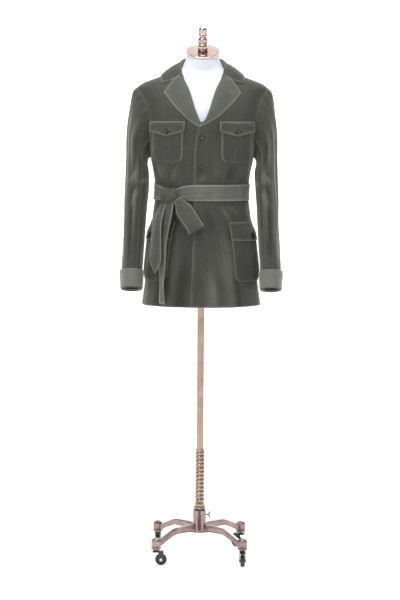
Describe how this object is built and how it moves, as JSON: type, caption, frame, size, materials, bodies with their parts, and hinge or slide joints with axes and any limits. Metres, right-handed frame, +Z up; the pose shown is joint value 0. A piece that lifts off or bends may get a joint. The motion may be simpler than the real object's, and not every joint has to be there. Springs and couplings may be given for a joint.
{
  "type": "jacket on a dress form stand",
  "caption": "Belted jacket with turned lapels, flap patch pockets and a knotted belt, worn by a limbless dress form on a height-adjustable castor stand.",
  "frame": {"origin": "on the floor, under the pole's middle", "axes": "+Z up, -Y is the jacket's front, +X is the wearer's left"},
  "size_m": [0.527, 0.359, 1.748],
  "materials": {
    "jacket_cloth": "fine corduroy with a soft nap",
    "turned_cloth": "the same corduroy with its nap turned, so lighter",
    "buttons": "polished dark horn",
    "form_cover": "taut white cover",
    "copper": "polished rose copper plate",
    "bronze": "satin bronze plate",
    "screw": "dark steel",
    "castor": "black moulded plastic"
  },
  "bodies": {
    "base": {"column": "bronze", "twist_sleeve": "copper", "leg_front_left": "bronze", "socket_front_left": "bronze", "leg_front_right": "bronze", "socket_front_right": "bronze", "leg_rear_left": "bronze", "socket_rear_left": "bronze", "leg_rear_right": "bronze", "socket_rear_right": "bronze"},
    "figure": {"pole": "copper", "form": "form_cover", "neck_cap": "copper", "finial": "copper", "front_left": "jacket_cloth", "front_right": "jacket_cloth", "back": "jacket_cloth", "top_sleeve_left": "jacket_cloth", "under_sleeve_left": "jacket_cloth", "top_sleeve_right": "jacket_cloth", "under_sleeve_right": "jacket_cloth", "chest_pocket_left": "jacket_cloth", "chest_pocket_right": "jacket_cloth", "chest_flap_left": "jacket_cloth", "chest_flap_right": "jacket_cloth", "hip_pocket_left": "jacket_cloth", "hip_pocket_right": "jacket_cloth", "hip_flap_left": "jacket_cloth", "hip_flap_right": "jacket_cloth", "collar": "jacket_cloth", "cuff_left": "turned_cloth", "cuff_right": "turned_cloth", "lapel_left": "turned_cloth", "lapel_right": "turned_cloth", "belt_band": "turned_cloth", "belt_knot": "turned_cloth", "belt_loop": "turned_cloth", "belt_tail_long": "turned_cloth", "belt_tail_short": "turned_cloth", "front_button_1": "buttons", "front_button_2": "buttons", "chest_button_left": "buttons", "chest_button_right": "buttons", "hip_button_left": "buttons", "hip_button_right": "buttons"},
    "clamp_screw": {"wing_screw": "screw"},
    "castor_front_left": {"fork_front_left": "castor"},
    "wheel_body_front_left": {"wheel_front_left": "castor"},
    "brake_body_front_left": {"brake_front_left": "castor"},
    "castor_front_right": {"fork_front_right": "castor"},
    "wheel_body_front_right": {"wheel_front_right": "castor"},
    "castor_rear_left": {"fork_rear_left": "castor"},
    "wheel_body_rear_left": {"wheel_rear_left": "castor"},
    "castor_rear_right": {"fork_rear_right": "castor"},
    "wheel_body_rear_right": {"wheel_rear_right": "castor"},
    "brake_body_rear_right": {"brake_rear_right": "castor"}
  },
  "joints": [
    {"name": "height_slide", "type": "slide", "parent": "base", "child": "figure", "axis": [0, 0, 1], "range_m": [0, 0.04]},
    {"name": "clamp_screw_turn", "type": "hinge", "parent": "base", "child": "clamp_screw", "pos_m": [0.0221, 0, 0.139], "axis": [1, 0, 0], "continuous": true},
    {"name": "swivel_front_left", "type": "hinge", "parent": "base", "child": "castor_front_left", "pos_m": [0.14071, -0.14071, 0.05], "axis": [0, 0, 1], "continuous": true},
    {"name": "spin_front_left", "type": "hinge", "parent": "castor_front_left", "child": "wheel_body_front_left", "pos_m": [0.14071, -0.15671, 0.01912], "axis": [1, 0, 0], "continuous": true},
    {"name": "brake_front_left", "type": "hinge", "parent": "castor_front_left", "child": "brake_body_front_left", "pos_m": [0.14071, -0.16551, 0.0445], "axis": [1, 0, 0], "range_deg": [0, 15]},
    {"name": "swivel_front_right", "type": "hinge", "parent": "base", "child": "castor_front_right", "pos_m": [-0.14071, -0.14071, 0.05], "axis": [0, 0, 1], "continuous": true},
    {"name": "spin_front_right", "type": "hinge", "parent": "castor_front_right", "child": "wheel_body_front_right", "pos_m": [-0.12471, -0.14071, 0.01912], "axis": [0, 1, 0], "continuous": true},
    {"name": "swivel_rear_left", "type": "hinge", "parent": "base", "child": "castor_rear_left", "pos_m": [0.14071, 0.14071, 0.05], "axis": [0, 0, 1], "continuous": true},
    {"name": "spin_rear_left", "type": "hinge", "parent": "castor_rear_left", "child": "wheel_body_rear_left", "pos_m": [0.12686, 0.14871, 0.01912], "axis": [-0.5, -0.866, 0], "continuous": true},
    {"name": "swivel_rear_right", "type": "hinge", "parent": "base", "child": "castor_rear_right", "pos_m": [-0.14071, 0.14071, 0.05], "axis": [0, 0, 1], "continuous": true},
    {"name": "spin_rear_right", "type": "hinge", "parent": "castor_rear_right", "child": "wheel_body_rear_right", "pos_m": [-0.14071, 0.15671, 0.01912], "axis": [-1, 0, 0], "continuous": true},
    {"name": "brake_rear_right", "type": "hinge", "parent": "castor_rear_right", "child": "brake_body_rear_right", "pos_m": [-0.14071, 0.16551, 0.0445], "axis": [-1, 0, 0], "range_deg": [0, 15]}
  ]
}
